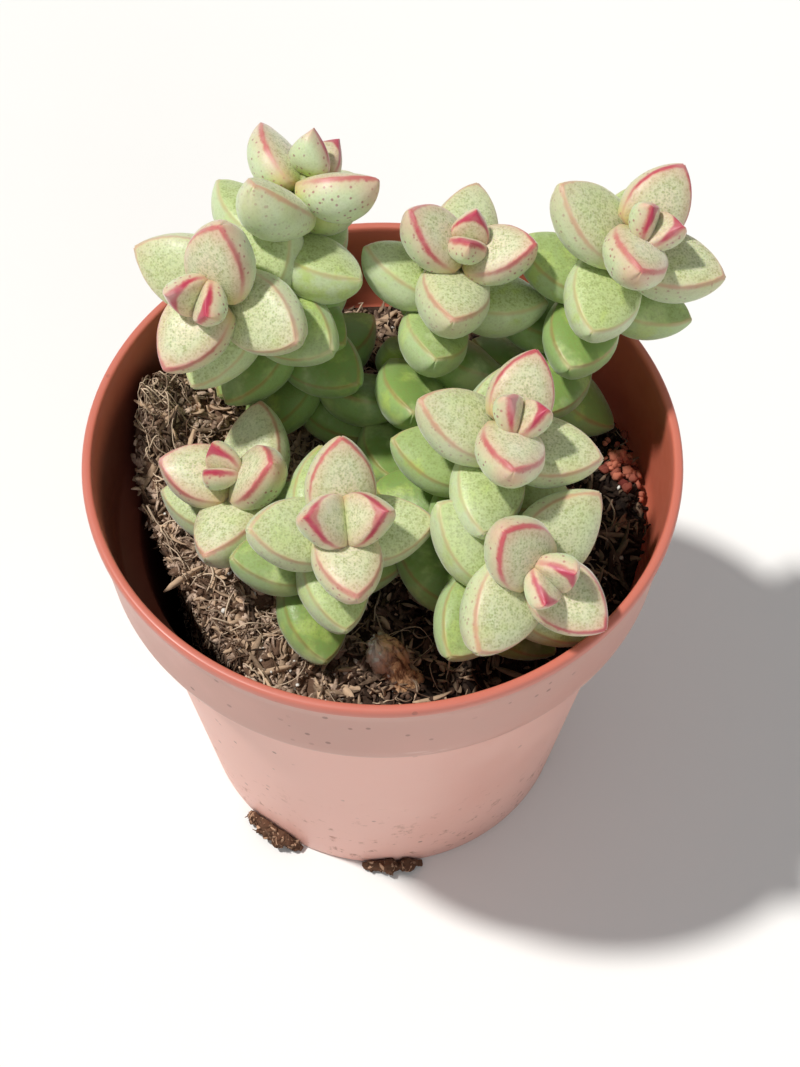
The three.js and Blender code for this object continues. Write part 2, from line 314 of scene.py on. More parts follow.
def makePotMaterial():
    material, tree, shader, place = newMaterial("terracottaPlastic", 0.42)
    axes = parted(tree, place)
    x, z = axes[0], axes[2]
    outside = attribute(tree, "potOutside")
    cloud = noiseAt(tree, place, 60, 4, 0.6)
    fine = noiseAt(tree, place, 900, 3, 0.6)
    lit = blendColour(tree, spread(tree, cloud, 0.35, 0.65), srgb(204, 112, 88), srgb(194, 101, 78))
    # sun-bleached haze on the outside, strongest on the collar and below it; below the collar its colour is
    # lighter, painted light for the wall that faces down away from the lamp
    haze = times(tree, outside, spread(tree, cloud, 0.25, 0.75, 0.7, 0.92))
    hazeWithLitWall = blendColour(tree, spread(tree, z, 0.0585, 0.0600), srgb(230, 184, 171), srgb(196, 154, 142))
    body = blendColour(tree, haze, lit, hazeWithLitWall)
    # the lip stays clean and saturated
    lip = spread(tree, z, 0.0735, 0.0752)
    body = blendColour(tree, times(tree, lip, 0.85), body, srgb(200, 110, 92))
    # painted shade: the inside below the lip darkens towards the left, where the plug has drawn away and the
    # wall is turned from the light
    inside = times(tree, minus(tree, 1.0, outside), spread(tree, z, 0.0745, 0.068))
    leftWallShade = times(tree, inside, spread(tree, x, 0.004, -0.024))
    body = blendColour(tree, times(tree, leftWallShade, 0.82), body, srgb(66, 30, 24))
    # dust and splashes of earth low on the wall and under the collar
    dirtNoise = noiseAt(tree, place, 420, 5, 0.7)
    low = spread(tree, z, 0.034, 0.004)
    dirt = times(tree, spread(tree, dirtNoise, 0.56, 0.68), low, outside)
    body = blendColour(tree, times(tree, dirt, 0.55), body, srgb(120, 84, 66))
    specks = cells(tree, place, 330.0)
    speck = times(tree, spread(tree, specks, 0.16, 0.1), spread(tree, cloud, 0.5, 0.62), outside)
    body = blendColour(tree, times(tree, speck, 0.6), body, srgb(104, 66, 52))
    # pale scuffs along the collar's foot
    stretch = addNode(tree, "ShaderNodeMapping", {"Vector": place, "Scale": (90, 90, 900)}).outputs[0]
    scuffNoise = noiseAt(tree, stretch, 1.0, 3, 0.6)
    band = times(tree, spread(tree, z, 0.0575, 0.0592), spread(tree, z, 0.0618, 0.0606))
    scuff = times(tree, band, outside, spread(tree, scuffNoise, 0.56, 0.66))
    body = blendColour(tree, times(tree, scuff, 0.75), body, srgb(232, 206, 196))
    tree.links.new(body, shader.inputs["Base Color"])
    gloss = spread(tree, cloud, 0.3, 0.7, 0.34, 0.5)
    tree.links.new(plus(tree, gloss, times(tree, dirt, 0.4)), shader.inputs["Roughness"])
    height = plus(tree, times(tree, fine, 0.3), dirt)
    addBump(tree, shader, height, 0.25, 0.0001)
    addDepth(shader, 0.08, (1.0, 0.35, 0.2), 0.002)
    return material


def potOutline(shape):
    # radius, height and share of the weathered outside, from the middle underneath to the floor inside
    height, rim, lip, base = shape["height"], shape["rim"], shape["lip"], shape["base"]
    foot, step, recess = shape["collarFoot"], height - shape["collar"], shape["footRecess"]
    shoulder, hub, ring, inside = shape["shoulder"], shape["hub"], shape["footRing"], shape["innerStep"]
    outline = [
        (hub, 0, 1), (hub + 0.4, 0.05, 1), (hub + 0.7, 0.35, 1), (hub + 0.9, 0.85, 1),
        (hub + 1.3, recess - 0.05, 1), (hub + 1.8, recess, 1),
        (ring - 1.9, recess, 1), (ring - 1.4, recess - 0.1, 1), (ring - 1.1, recess - 0.4, 1),
        (ring - 0.9, 0.3, 1), (ring - 0.5, 0.04, 1), (ring, 0, 1),
        (base - 0.9, 0, 1), (base - 0.45, 0.08, 1), (base - 0.15, 0.3, 1), (base, shape["baseRound"], 1),
    ]
    wallRings, collarRings, innerRings = 12, 7, 6
    low, high = shape["baseRound"], step - shape["shoulderDrop"]
    for i in range(1, wallRings + 1):
        level = low + (high - low) * i / wallRings
        outline.append((outerWall(level), level, 1))
    outline += [
        (shoulder + 0.25, step - 0.95, 1), (shoulder + 1.0, step - 0.55, 1),
        (shoulder + 2.2, step - 0.2, 1), (foot - 0.58, step, 1),
        (foot - 0.18, step + 0.3, 1), (foot, step + 0.9, 1),
    ]
    for i in range(1, collarRings):
        share = i / collarRings
        radius = foot + share * (rim - 0.5 - foot)
        outline.append((radius, step + 0.9 + share * (shape["collar"] - 3.0), 1))
    outline += [
        (rim - 0.42, height - 1.9, 1), (rim - 0.1, height - 1.65, 1),
        (rim, height - 1.35, 1), (rim, height - 0.7, 1),
        (rim - 0.06, height - 0.35, 1), (rim - 0.22, height - 0.1, 1), (rim - 0.42, height, 0.6),
        (rim - lip + 0.3, height, 0.3), (rim - lip + 0.06, height - 0.08, 0),
        (rim - lip - 0.08, height - 0.3, 0), (rim - lip - 0.2, height - 0.8, 0),
    ]
    for i in range(1, innerRings):
        share = i / innerRings
        outline.append((rim - lip - 0.2 - share * 1.5, height - 0.8 - share * 13.9, 0))
    outline += [(inside, step + 1.1, 0), (inside - 0.55, step + 0.5, 0)]
    outline.append((innerWall(step - 1.0) + 0.35, step - 0.3, 0))
    low = shape["floor"] + 1
    for i in range(wallRings + 1):
        level = high + (low - high) * i / wallRings
        outline.append((innerWall(level), level, 0))
    floor = shape["floor"]
    outline.append((innerWall(floor + 0.3) - 0.5, floor + 0.2, 0))
    outline += [(innerWall(floor) - 1.2, floor, 0), (12, floor, 0)]
    return outline


def makeDrills(shape):
    # plain numbers here and in makePot: vectors round them twice, and the cut then loses a face
    drills = []
    sides, hole = shape["drillSides"], shape["drainHole"]
    caps = [tuple(range(sides - 1, -1, -1)), tuple(range(sides, 2 * sides))]
    for i in range(shape["drainHoles"]):
        angle = 2 * math.pi * i / shape["drainHoles"]
        x, y = shape["drainRing"] * math.cos(angle), shape["drainRing"] * math.sin(angle)
        points = []
        for level in (-4, 6):
            for j in range(sides):
                turn = 2 * math.pi * j / sides
                corner = (x + hole * math.cos(turn), y + hole * math.sin(turn), level)
                points.append([value * mm for value in corner])
        drills.append(newPiece("drill", points, ringFaces(2, sides) + caps))
    return drills


def makePot(shape, material):
    sides = shape["segments"]
    points, outsideShare = [], []
    outline = potOutline(shape)
    for radius, level, outside in outline:
        for i in range(sides):
            angle = 2 * math.pi * i / sides
            points.append((radius * mm * math.cos(angle), radius * mm * math.sin(angle), level * mm))
            outsideShare.append(outside)
    faces = ringFaces(len(outline), sides)
    closeEnds(faces, len(points), sides, len(points), len(points) + 1)
    points += [(0, 0, 0), (0, 0, shape["floor"] * mm)]
    outsideShare += [1, 0]
    pot = newPiece("potShell", points, faces, material=material)
    setAttribute(pot.data, "potOutside", outsideShare)
    drills = makeDrills(shape)
    for drill in drills:
        cut = pot.modifiers.new("drain", "BOOLEAN")
        cut.object = drill
        cut.operation = "DIFFERENCE"
        cut.solver = "EXACT"
    graph = bpy.context.evaluated_depsgraph_get()
    cutMesh = bpy.data.meshes.new_from_object(pot.evaluated_get(graph))
    pot.modifiers.clear()
    pot.data = cutMesh
    for drill in drills:
        bpy.data.objects.remove(drill)
    return pot


pot = makePot(potShape, makePotMaterial())
keepAs(pot, "pot_plastic", "pot")
print("pot made:", len(pot.data.polygons), "faces")


# leaves and stems

growth = {  # by the age of a pair, counted from the youngest
    "length": [3.2, 9.4, 12.6, 13.4, 13.2, 13, 12.8, 12.6, 12.4, 12, 11.6, 11],
    "opening": [14, 46, 66, 78, 86, 92, 97, 100, 102, 103, 104, 105],
    "stepDown": [0.3, 2, 4.6, 8.4, 12.8, 17.4, 22, 26.6, 31.2, 35.8, 40.4, 45],
    "breadth": [1.45, 1.18, 1],
}

stems = [  # tip, foot, lean, toward, footLean, footToward, turn, age, pairs, size, opening, bare
    ("leafy_stem_front", (-4.5, -20.5, 88), (-12, -17), 26, -80, 10, 30, 7, 0.8, 7, 1.0, 0, ()),
    ("leafy_stem_middle_right", (18, -9.5, 96), (10, -6), 15, -35, 0, 0, 170, 0.4, 9, 1.0, 5, ()),
    ("leafy_stem_low_right", (21.9, -28.1, 86), (12, -18), 53, -70, 15, -70, 52, 0.4, 7, 1.05, 5, ()),
    ("leafy_stem_left", (-24.5, 7, 99.5), (-11, 15), 55, -113, 13, 50, 149, 0.44, 9, 1.08, 7, ()),
    ("leafy_stem_low_left", (-22, -6, 78), (-18, -6), 30, 195, 0, 0, 75, 0.3, 5, 1.04, 5, ()),
    ("leafy_stem_back", (11.5, 19, 98), (0, 8), 16, -66, 10, 60, 80, 0.4, 10, 1.02, 0, ("5+",)),
    ("leafy_stem_right_back", (36, 16.5, 104), (15, 16), 31, -39, 50, 0, 160, 0.4, 9, 1.04, 0, ("6+", "7+")),
    ("leafy_stem_left_back", (-9.9, 28, 103.5), (-17, 25), 53, 61, 4, -32, 54, 0.55, 9, 1.02, 1, ()),
]

leafShape = {
    "width": 0.69, "depth": 0.47, "crown": 0.125, "crownPower": 0.85,
    "peak": 0.37, "rootShare": 0.8, "taper": 0.8, "rootRound": 0.1,  # the outline seen from above
    "sideBulge": 0.22,     # how far the flank stands out under the margin
    "chin": 0.035,         # how far the keel reaches past the margin's tip
    "ridge": 0.013, "ridgeSpread": 0.035,
    "rings": 26, "topPoints": 15, "flankPoints": 19, "crowding": 0.09,  # the points crowd at the margin
    "firstRing": 0.02, "ringReach": 0.975, "ringCrowding": 1.5,         # and the rings at the tip
    "unevenness": 0.00022,
}
budShape = {  # where the youngest pair differs
    "crown": 0.16, "crownPower": 0.45, "peak": 0.2, "rootShare": 0.98, "taper": 1.15, "rootRound": 0.03,
    "sideBulge": 0.14,
    "youngerThan": 1.0,
}

stalkShape = {
    "footRadius": 2.0, "tipRadius": 1.4, "sides": 14, "buried": 6.0, "buriedRadius": 1.8,
    "stations": 80, "fineSteps": 400, "reach": 0.4,
}

soilShape = {
    "height": 61.0, "edge": 57.0, "step": 60.6, "brimReach": 3.4,
    "shrinkToward": 212, "shrinkHalfWidth": 48, "shrinkDepth": 3.6,  # degrees round the pot, then mm
    "ridgePlace": (-34.5, 14), "ridgeSpread": 8.0, "ridgeHeight": 7.0,
    "bankPlace": (36, -6), "bankSpread": 22, "bankHeight": 3.6,
    "sides": 400, "topRings": 84, "sideRings": 46, "bitRoom": 0.7, "stripRoom": 2.4,
    "tuftPlace": (-35, 15), "redPlace": (36.2, 6.8), "redReach": 2.9,
    "perlitePlace": (-14, -29), "perliteReach": 6.0, "perliteShare": 0.06,
    "holePlace": (-4, 33), "holeReach": 2.6, "holeDepth": 3.0, "stepRadius": 36.0,
}


def readTable(table, place):
    i = min(int(place), len(table) - 2)
    share = min(place, len(table) - 1) - i
    return table[i] + (table[i + 1] - table[i]) * share


def mound(x, y, place, reach):
    return math.exp(-(((x - place[0]) ** 2 + (y - place[1]) ** 2) / reach ** 2))


def soilTop(x, y):
    lumps = 0.5 * math.sin(0.55 * x + 1.3) * math.sin(0.6 * y) + 0.35 * math.sin(1.1 * x - 0.7 * y)
    ridge = soilShape["ridgeHeight"] * mound(x, y, soilShape["ridgePlace"], soilShape["ridgeSpread"])
    bank = soilShape["bankHeight"] * mound(x, y, soilShape["bankPlace"], soilShape["bankSpread"])
    return soilShape["height"] - 0.03 * x + ridge + bank + lumps


def swell(t, peak, rootShare, fall):
    if t < peak:
        return rootShare + (1 - rootShare) * math.sin(math.pi / 2 * t / peak)
    return max(0.0, 1 - ((t - peak) / (1 - peak)) ** 2) ** fall


def makeLeafForm(name, shape):
    # one leaf of length 1: root at the origin, tip along +Y, upper face towards +Z
    angles = []
    for half, count in enumerate((shape["topPoints"], shape["flankPoints"])):
        for i in range(count):
            share = i / count
            angles.append(math.pi * (half + share - shape["crowding"] * math.sin(2 * math.pi * share)))
    sides = len(angles)
    points, along, gaps, tops = [], [], [], []
    for ring in range(shape["rings"]):
        left = 1 - ring / (shape["rings"] - 1)
        t = shape["firstRing"] + shape["ringReach"] * (1 - left ** shape["ringCrowding"])
        halfWidth = 0.5 * shape["width"] * swell(t, shape["peak"], shape["rootShare"], shape["taper"])
        crown = shape["crown"] * swell(t, 0.4, 0.6, 0.9)
        depth = shape["depth"] * swell(t, 0.5, 0.5, 0.55)
        if t < shape["rootRound"]:
            closing = 0.35 + 0.65 * math.sqrt(max(0.0, 1 - (1 - t / shape["rootRound"]) ** 2))
            halfWidth, crown, depth = halfWidth * closing, crown * closing, depth * closing
        for angle in angles:
            c, s = math.cos(angle), math.sin(angle)
            if s >= 0:
                x, y, z = halfWidth * c, t, crown * s ** shape["crownPower"]
            else:
                bulge = 1 + shape["sideBulge"] * math.sin(math.pi * abs(s)) ** 0.8
                x, z = halfWidth * math.copysign(abs(c) ** 0.75, c) * bulge, depth * s
                y = t + shape["chin"] * abs(math.sin(2 * angle)) ** 0.5 * soften((t - 0.55) / 0.45)
            gap = math.hypot(x - math.copysign(halfWidth, c), z)
            bump = shape["ridge"] * math.exp(-((gap / shape["ridgeSpread"]) ** 2))
            bump *= min(1, halfWidth / 0.08)
            points.append((x + 0.8 * bump * c, y, z + 0.9 * bump))
            along.append(t)
            gaps.append(gap)
            tops.append(1.0 if s >= 0 else 0.0)
    faces = ringFaces(shape["rings"], sides)
    closeEnds(faces, len(points), sides, len(points), len(points) + 1)
    faces = [tuple(reversed(face)) for face in faces]
    points += [(0, 0, 0), (0, 1.0 + 0.3 * shape["chin"], -0.004)]
    along += [0, 1]
    gaps += [0.3, 0]
    tops += [1, 1]
    form = newPiece(name, points, faces)
    for label, values in (("leafAlong", along), ("marginGap", gaps), ("upperFace", tops)):
        setAttribute(form.data, label, values)
    return form


def leaning(angle, direction):
    heading = math.radians(direction)
    return Matrix.Rotation(math.radians(angle), 3, Vector((-math.sin(heading), math.cos(heading), 0)))


def stemCourse(tip, foot, lean, toward, footLean, footToward, turn):
    # places down the stem from tip to foot, each with its upward and sideways directions
    upright = Vector((0, 0, 1))
    head = leaning(lean, toward)
    base = leaning(footLean, footToward) @ upright
    start, end = Vector(tip), Vector((foot[0], foot[1], soilShape["height"] - 2))
    reach = (start - end).length * stalkShape["reach"]
    controls = [start, start - head @ upright * reach, end + base * reach, end]
    line, travelled = [], [0.0]
    for i in range(stalkShape["fineSteps"] + 1):
        t = i / stalkShape["fineSteps"]
        weights = ((1 - t) ** 3, 3 * t * (1 - t) ** 2, 3 * t * t * (1 - t), t ** 3)
        line.append(sum((weight * control for weight, control in zip(weights, controls)), Vector()))
        if i:
            travelled.append(travelled[-1] + (line[-1] - line[-2]).length)
    length = travelled[-1]
    side = head @ roundPoint(1, math.radians(turn), 0)
    stations = []
    for i in range(stalkShape["stations"] + 1):
        target = length * i / stalkShape["stations"]
        j = max(int(min(np.searchsorted(travelled, target), stalkShape["fineSteps"])), 1)
        share = (target - travelled[j - 1]) / (travelled[j] - travelled[j - 1])
        upward = (line[j - 1] - line[j]).normalized()
        side = (side - upward * side.dot(upward)).normalized()
        stations.append((line[j - 1].lerp(line[j], share), upward, side.copy()))
    return stations, length, base


leafColumns = [  # what each point of a stem carries besides its place
    ("leafLength", "FLOAT"), ("leafAlongAxis", "FLOAT_VECTOR"), ("leafUpAxis", "FLOAT_VECTOR"),
    ("leafAge", "FLOAT"), ("leafSeed", "FLOAT"), ("stalkRadius", "FLOAT"), ("leafFatness", "FLOAT"),
    ("leafBreadth", "FLOAT"),
]


def stemSeed(index, stem):
    # the stalk as a line of points and each leaf as one single point with its directions and age
    name, tip, foot, lean, toward, footLean, footToward, turn, youngest, pairs, size, opening, bare = stem
    stations, length, base = stemCourse(tip, foot, lean, toward, footLean, footToward, turn)
    count = stalkShape["stations"]
    rows = []

    def addPoint(place, leafLength, along, up, age, seed, radius, fat):
        breadth = readTable(growth["breadth"], age)
        rows.append((place * mm, leafLength * mm, along, up, age, seed, radius * mm, fat, breadth))

    for i, (place, upward, side) in enumerate(stations):
        share = i / count
        radius = stalkShape["tipRadius"] + (stalkShape["footRadius"] - stalkShape["tipRadius"]) * share
        radius *= min(1, 0.25 + i / 6)
        addPoint(place, 0, upward, side, 3 + 5 * share, index, radius, 1)
    buried = stations[-1][0] - base * stalkShape["buried"]
    addPoint(buried, 0, base, stations[-1][2], 8, index, stalkShape["buriedRadius"], 1)
    edges = [(i, i + 1) for i in range(len(rows) - 1)]
    for pair in range(pairs):
        age = pair + youngest
        down = readTable(growth["stepDown"], age) * size
        if down > length - 2:
            break
        place, upward, side = stations[round(min(down, length) / length * count)]
        cross = upward.cross(side)
        for sign in (1, -1):
            label = str(pair) + ("+" if sign > 0 else "-")
            seed = 17 * index + 2 * pair + (0 if sign > 0 else 1)
            spreadOut = readTable(growth["opening"], age) + (opening if pair > 0 else 0) + 3 * wobble(seed)
            outward = (cross if pair % 2 else side) * sign * (-1 if pair % 4 > 1 else 1)
            tilt = math.radians(spreadOut)
            along = upward * math.cos(tilt) + outward * math.sin(tilt)
            up = upward * math.sin(tilt) - outward * math.cos(tilt)
            leafLength = readTable(growth["length"], age) * size * (1 + 0.03 * wobble(seed + 0.5))
            low = place + along * 0.45 * leafLength - up * leafShape["depth"] * leafLength
            if low.z < soilTop(low.x, low.y) - 1.5 or label in bare:
                continue
            fat = 1.0 + 0.05 * wobble(seed + 3)
            addPoint(place, leafLength, along, up, age, seed + 0.37, 0, fat)
    columns = list(zip(*rows))
    seedPiece = newPiece(name + "_fine", columns[0], [], edges)
    for (label, kind), values in zip(leafColumns, columns[1:]):
        setAttribute(seedPiece.data, label, values, kind)
    return seedPiece


def makeStemTree():
    inputs = {
        "Leaf": "Object", "Bud": "Object", "Bud age": "Float", "Stalk sides": "Int", "Unevenness": "Float",
        "Skin": "Material",
    }
    tree, start, end, sockets = newTree("leafyStem", inputs)
    length = named(tree, "leafLength")
    wires = {0: length, 1: 0.0001}
    isLeaf = addNode(tree, "FunctionNodeCompare", wires, operation="GREATER_THAN").outputs[0]
    wires = {0: start["Geometry"], 1: isLeaf}
    leafPoints, stalkPoints = addNode(tree, "GeometryNodeSeparateGeometry", wires, domain="POINT").outputs
    wires = {0: named(tree, "leafAlongAxis", "FLOAT_VECTOR"), 1: named(tree, "leafUpAxis", "FLOAT_VECTOR")}
    axes = addNode(tree, "FunctionNodeAxesToRotation", wires, primary_axis="Y", secondary_axis="Z")
    height = times(tree, length, named(tree, "leafFatness"))
    broad = times(tree, length, named(tree, "leafBreadth"))
    size = addNode(tree, "ShaderNodeCombineXYZ", {0: broad, 1: length, 2: height}).outputs[0]
    both = addNode(tree, "GeometryNodeJoinGeometry")
    for form, test in (("Leaf", "GREATER_EQUAL"), ("Bud", "LESS_THAN")):
        wires = {0: named(tree, "leafAge"), 1: start["Bud age"]}
        chosen = addNode(tree, "FunctionNodeCompare", wires, operation=test).outputs[0]
        shape = addNode(tree, "GeometryNodeObjectInfo", {0: start[form]}).outputs["Geometry"]
        wires = {
            "Points": leafPoints, "Selection": chosen, "Instance": shape,
            "Rotation": axes.outputs[0], "Scale": size,
        }
        placed = addNode(tree, "GeometryNodeInstanceOnPoints", wires).outputs[0]
        tree.links.new(placed, both.inputs[0])
    leaves = addNode(tree, "GeometryNodeRealizeInstances", {0: both.outputs[0]}).outputs[0]
    # each leaf gets its own gentle unevenness
    place = addNode(tree, "GeometryNodeInputPosition").outputs[0]
    wires = {"Vector": place, "W": named(tree, "leafSeed"), "Scale": 210.0, "Detail": 1.0}
    wave = addNode(tree, "ShaderNodeTexNoise", wires, noise_dimensions="4D").outputs["Color"]
    centred = vectorMaths(tree, "SUBTRACT", {0: wave, 1: (0.5, 0.5, 0.5)})
    push = vectorMaths(tree, "SCALE", {0: centred, "Scale": start["Unevenness"]})
    leaves = addNode(tree, "GeometryNodeSetPosition", {"Geometry": leaves, "Offset": push}).outputs[0]
    joined = addNode(tree, "GeometryNodeJoinGeometry")
    tree.links.new(tubeAlong(tree, stalkPoints, start["Stalk sides"], "stalkRadius"), joined.inputs[0])
    tree.links.new(leaves, joined.inputs[0])
    smooth = addNode(tree, "GeometryNodeSetShadeSmooth", {0: joined.outputs[0]}).outputs[0]
    painted = addNode(tree, "GeometryNodeSetMaterial", {0: smooth, "Material": start["Skin"]}).outputs[0]
    tree.links.new(painted, end[0])
    return tree, sockets


leafPaint = {
    "cream": (226, 218, 186), "mint": (210, 217, 178), "green": (196, 210, 148), "deep": (128, 158, 82),
    "crease": (184, 204, 98), "flank": (204, 217, 174), "flankOld": (152, 182, 112),
    "dot": (134, 148, 78), "flankDot": (150, 96, 96),
    "dotsPerMetre": 2900.0, "flankDotsPerMetre": 1180.0,
    "blush": (224, 160, 146), "line": (188, 54, 78), "lineOld": (198, 114, 92), "bloom": (226, 234, 214),
    "bud": (180, 48, 80), "stalk": (150, 158, 96), "stalkLow": (122, 98, 66),
}


def dotCells(tree, place, scale, randomness=1.0):
    # how near the middle of its cell a place is, and a chance number for the cell
    wires = {"Vector": place, "Scale": scale, "Randomness": randomness}
    found = addNode(tree, "ShaderNodeTexVoronoi", wires)
    chance = addNode(tree, "ShaderNodeSeparateColor", {0: found.outputs["Color"]}).outputs[0]
    return found.outputs["Distance"], chance


def makeLeafMaterial(paint):
    material, tree, shader, place = newMaterial("crassulaSkin", 0.44, 0.4)
    tone = {name: srgb(*value) for name, value in paint.items() if isinstance(value, tuple)}
    age = attribute(tree, "leafAge")
    along = attribute(tree, "leafAlong")
    seed = attribute(tree, "leafSeed")
    upper = attribute(tree, "upperFace")
    length = attribute(tree, "leafLength")
    gap = times(tree, attribute(tree, "marginGap"), length)  # metres from the margin line
    below = minus(tree, 1.0, upper)
    young = spread(tree, age, 3.4, 0.8)
    old = spread(tree, age, 3.0, 5.6)
    cloud = noiseAt(tree, place, 260, 3, 0.55)
    wide = noiseAt(tree, place, 90, 2, 0.5)
    streak = noiseAt(tree, place, 900, 4, 0.6)
    chance = addNode(tree, "ShaderNodeTexWhiteNoise", {"W": seed}, noise_dimensions="1D").outputs["Value"]

    # upper face: cream in the middle of a young leaf, mint round it, greener with age
    middle = times(tree, spread(tree, gap, 0.0012, 0.0036), young)
    face = blendColour(tree, middle, tone["mint"], tone["cream"])
    uneven = times(tree, minus(tree, wide, 0.5), 0.9)
    greening = plus(tree, spread(tree, age, 1.6, 4.2), uneven, clamp=True)
    face = blendColour(tree, greening, face, tone["green"])
    face = blendColour(tree, old, face, tone["deep"])
    flank = blendColour(tree, old, tone["flank"], tone["flankOld"])
    body = blendColour(tree, upper, flank, face)

    # yellow-green at the root of a leaf and in patches of older ones
    patch = times(tree, spread(tree, cloud, 0.5, 0.7), spread(tree, age, 1.4, 3.5, 0.0, 0.6))
    root = maths(tree, "MAXIMUM", times(tree, spread(tree, along, 0.34, 0.06), 0.8), patch)
    body = blendColour(tree, root, body, tone["crease"])

    # fine olive dots, crowded above and sparser below
    wires = {"Vector": place, "Scale": 1300.0, "Detail": 1.0}
    warp = addNode(tree, "ShaderNodeTexNoise", wires).outputs["Color"]
    shift = vectorMaths(tree, "MULTIPLY", {0: warp, 1: (0.00016, 0.00016, 0.00016)})
    spot = vectorMaths(tree, "ADD", {0: place, 1: shift})
    near, cell = dotCells(tree, spot, paint["dotsPerMetre"], 0.85)
    dot = times(tree, spread(tree, near, 0.66, 0.2), spread(tree, cell, 0.0, 0.8, 0.3, 1.0))
    net = noiseAt(tree, place, 1500, 3, 0.7, 0.3)
    dot = plus(tree, times(tree, dot, 0.7), spread(tree, net, 0.46, 0.66, 0.0, 0.6), clamp=True)
    dot = times(tree, dot, spread(tree, gap, 0.0001, 0.0009))
    topDots = times(tree, dot, plus(tree, 0.2, times(tree, upper, 0.46)))
    body = blendColour(tree, topDots, body, tone["dot"])
    near, cell = dotCells(tree, spot, paint["flankDotsPerMetre"])
    lowDots = times(tree, spread(tree, near, 0.3, 0.14), spread(tree, cell, 0.0, 0.25))
    lowDots = times(tree, lowDots, below, spread(tree, age, 3.4, 1.4, 0.12, 0.85))
    body = blendColour(tree, lowDots, body, tone["flankDot"])

    # pink blush beside the margin and at the tip of young leaves
    blush = times(tree, spread(tree, gap, 0.0026, 0.0003), times(tree, young, 0.5))
    tipBlush = times(tree, spread(tree, along, 0.72, 1.0), times(tree, young, 0.7))
    body = blendColour(tree, maths(tree, "MAXIMUM", blush, tipBlush), body, tone["blush"])

    # the coloured line on the margin: broad crimson when young, thin and brownish later, fading to the root
    waver = times(tree, minus(tree, streak, 0.5), 0.0007)
    newest = spread(tree, age, 1.3, 0.5)
    reach = plus(tree, 0.00018, times(tree, young, 0.00008))
    reach = times(tree, reach, spread(tree, along, 0.1, 0.8, 0.7, 1.3))
    edge = minus(tree, plus(tree, gap, waver), reach)
    line = spread(tree, edge, 0.00036, -0.0002)
    strength = plus(tree, 0.32, times(tree, young, 0.66))
    strength = times(tree, strength, spread(tree, chance, 0.0, 1.0, 0.75, 1.1))
    strength = times(tree, strength, spread(tree, along, 0.12, 0.6, 0.25, 1.0))
    line = times(tree, line, maths(tree, "MINIMUM", strength, 0.95))
    tint = blendColour(tree, spread(tree, age, 3.2, 1.2), tone["lineOld"], tone["line"])
    body = blendColour(tree, line, body, tint)
    filled = minus(tree, times(tree, minus(tree, along, 0.5), 0.0036), gap)
    filled = times(tree, spread(tree, filled, -0.0002, 0.0004), newest, upper)
    body = blendColour(tree, times(tree, filled, 0.9), body, tone["bud"])

    # waxy bloom in patches
    bloom = times(tree, spread(tree, noiseAt(tree, place, 130, 4, 0.6), 0.48, 0.75), 0.3)
    body = blendColour(tree, bloom, body, tone["bloom"])
    bark = blendColour(tree, spread(tree, age, 3.5, 7.0), tone["stalk"], tone["stalkLow"])
    body = blendColour(tree, spread(tree, length, 0.0001, 0.0004), bark, body)
    tree.links.new(body, shader.inputs["Base Color"])
    rough = spread(tree, streak, 0.3, 0.7, 0.38, 0.52)
    tree.links.new(rough, shader.inputs["Roughness"])
    height = minus(tree, times(tree, cells(tree, place, 5200.0), 0.4), times(tree, dot, 0.6))
    addBump(tree, shader, height, 0.35, 0.00006)
    addDepth(shader, 0.25, (0.6, 1.0, 0.25), 0.0016)
    shader.inputs["Sheen Weight"].default_value = 0.3
    shader.inputs["Sheen Roughness"].default_value = 0.4
    return material


skin = makeLeafMaterial(leafPaint)
leafForm = makeLeafForm("leafForm", leafShape)
budForm = makeLeafForm("budForm", {**leafShape, **budShape})
stemTree, stemSockets = makeStemTree()
stemValues = {
    "Leaf": leafForm, "Bud": budForm, "Bud age": budShape["youngerThan"],
    "Stalk sides": stalkShape["sides"], "Unevenness": leafShape["unevenness"], "Skin": skin,
}
for index, stem in enumerate(stems):
    grown = runTree(stemSeed(index, stem), stemTree, stemSockets, stemValues)
    keepAs(grown, "leaf", stem[0])
    print(stem[0], "grown:", len(grown.data.polygons), "faces")
for form in (leafForm, budForm):
    bpy.data.objects.remove(form)


# soil

def drawnShare(angle):
    off = abs((math.degrees(angle) % 360) - soilShape["shrinkToward"]) / soilShape["shrinkHalfWidth"]
    return math.cos(off * math.pi / 2) ** 1.2 if off < 1 else 0


def shrink(angle, level):
    return soilShape["shrinkDepth"] * drawnShare(angle) * soften((level - 22) / 30)


def edgeRadius(angle):
    # how far out the top of the plug reaches: over the pot's inner step where it has not drawn in
    brim = soilShape["brimReach"] * (1 - drawnShare(angle))
    return innerWall(soilShape["edge"]) - 0.6 - shrink(angle, soilShape["edge"]) + brim


earthPaint = {
    "darkLow": (32, 24, 20), "darkHigh": (104, 80, 66),
    "lightLow": (112, 87, 70), "lightHigh": (224, 197, 174),
    "dampShadeFrom": 0.002, "dampShadeTo": 0.018,     # metres in x over which the mix turns dark to the right: damp earth and painted shade
}


